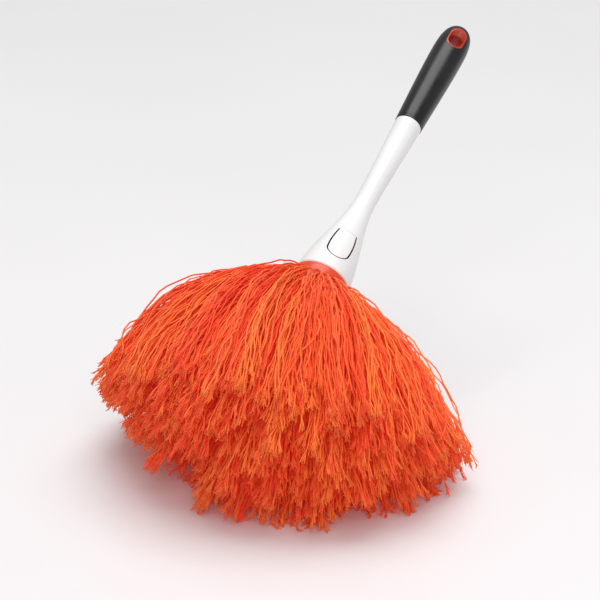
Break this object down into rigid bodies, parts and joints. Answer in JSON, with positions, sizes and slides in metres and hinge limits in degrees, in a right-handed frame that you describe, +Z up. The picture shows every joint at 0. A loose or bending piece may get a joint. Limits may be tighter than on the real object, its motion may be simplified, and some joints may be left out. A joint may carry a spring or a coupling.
{
  "type": "hand duster",
  "caption": "Hand duster: full yarn head on a bell-ended handle with a soft grip, press tab that frees the head, and a hanging eye; stands on its yarn.",
  "frame": {"origin": "on the floor, under the middle of the duster's overall box as it stands on its yarn", "axes": "+Z up from the floor; +Y the way the handle leans; +X to the right of someone looking along +Y"},
  "size_m": [0.2918, 0.4428, 0.2618],
  "materials": {
    "shell_white": "gloss",
    "grip_black": "satin",
    "liner_orange": "gloss",
    "tab_white": "gloss",
    "collar_orange": "gloss",
    "plug_orange": "gloss",
    "arm_orange": "gloss",
    "base_cloth": "matte",
    "washer_steel": "satin",
    "screw_steel": "satin",
    "tape_cloth": "matte",
    "yarn_orange": "matte"
  },
  "bodies": {
    "head": {"collar": "collar_orange", "head_plug": "plug_orange", "base_disc": "base_cloth", "clamp_washer": "washer_steel", "clamp_screw": "screw_steel", "tape_1": "tape_cloth", "tape_2": "tape_cloth", "tape_3": "tape_cloth", "tape_4": "tape_cloth", "tape_5": "tape_cloth", "yarn_1": "yarn_orange", "yarn_2": "yarn_orange", "yarn_3": "yarn_orange", "yarn_4": "yarn_orange", "yarn_5": "yarn_orange", "yarn_core": "yarn_orange"},
    "handle": {"handle_shell": "shell_white", "grip": "grip_black", "hole_liner": "liner_orange"},
    "release": {"release_tab": "tab_white"},
    "arm": {"snap_arm": "arm_orange"}
  },
  "joints": [
    {"name": "head_release", "type": "slide", "parent": "head", "child": "handle", "axis": [0, 0.8878, 0.4602], "range_m": [0, 0.045], "deforming": ["snap_arm"]},
    {"name": "release_press", "type": "hinge", "parent": "handle", "child": "release", "pos_m": [0.00735, -0.00586, 0.15206], "axis": [0.8572, 0.237, -0.4573], "range_deg": [0, 6], "stiffness_Nm_per_rad": 0.5},
    {"name": "arm_flex", "type": "hinge", "parent": "head", "child": "arm", "pos_m": [0.00692, -0.0147, 0.14668], "axis": [0.8572, 0.237, -0.4573], "range_deg": [0, 10]}
  ],
  "couplings": [
    {"joint": "arm_flex", "follows": "release_press", "ratio": 1.5}
  ]
}
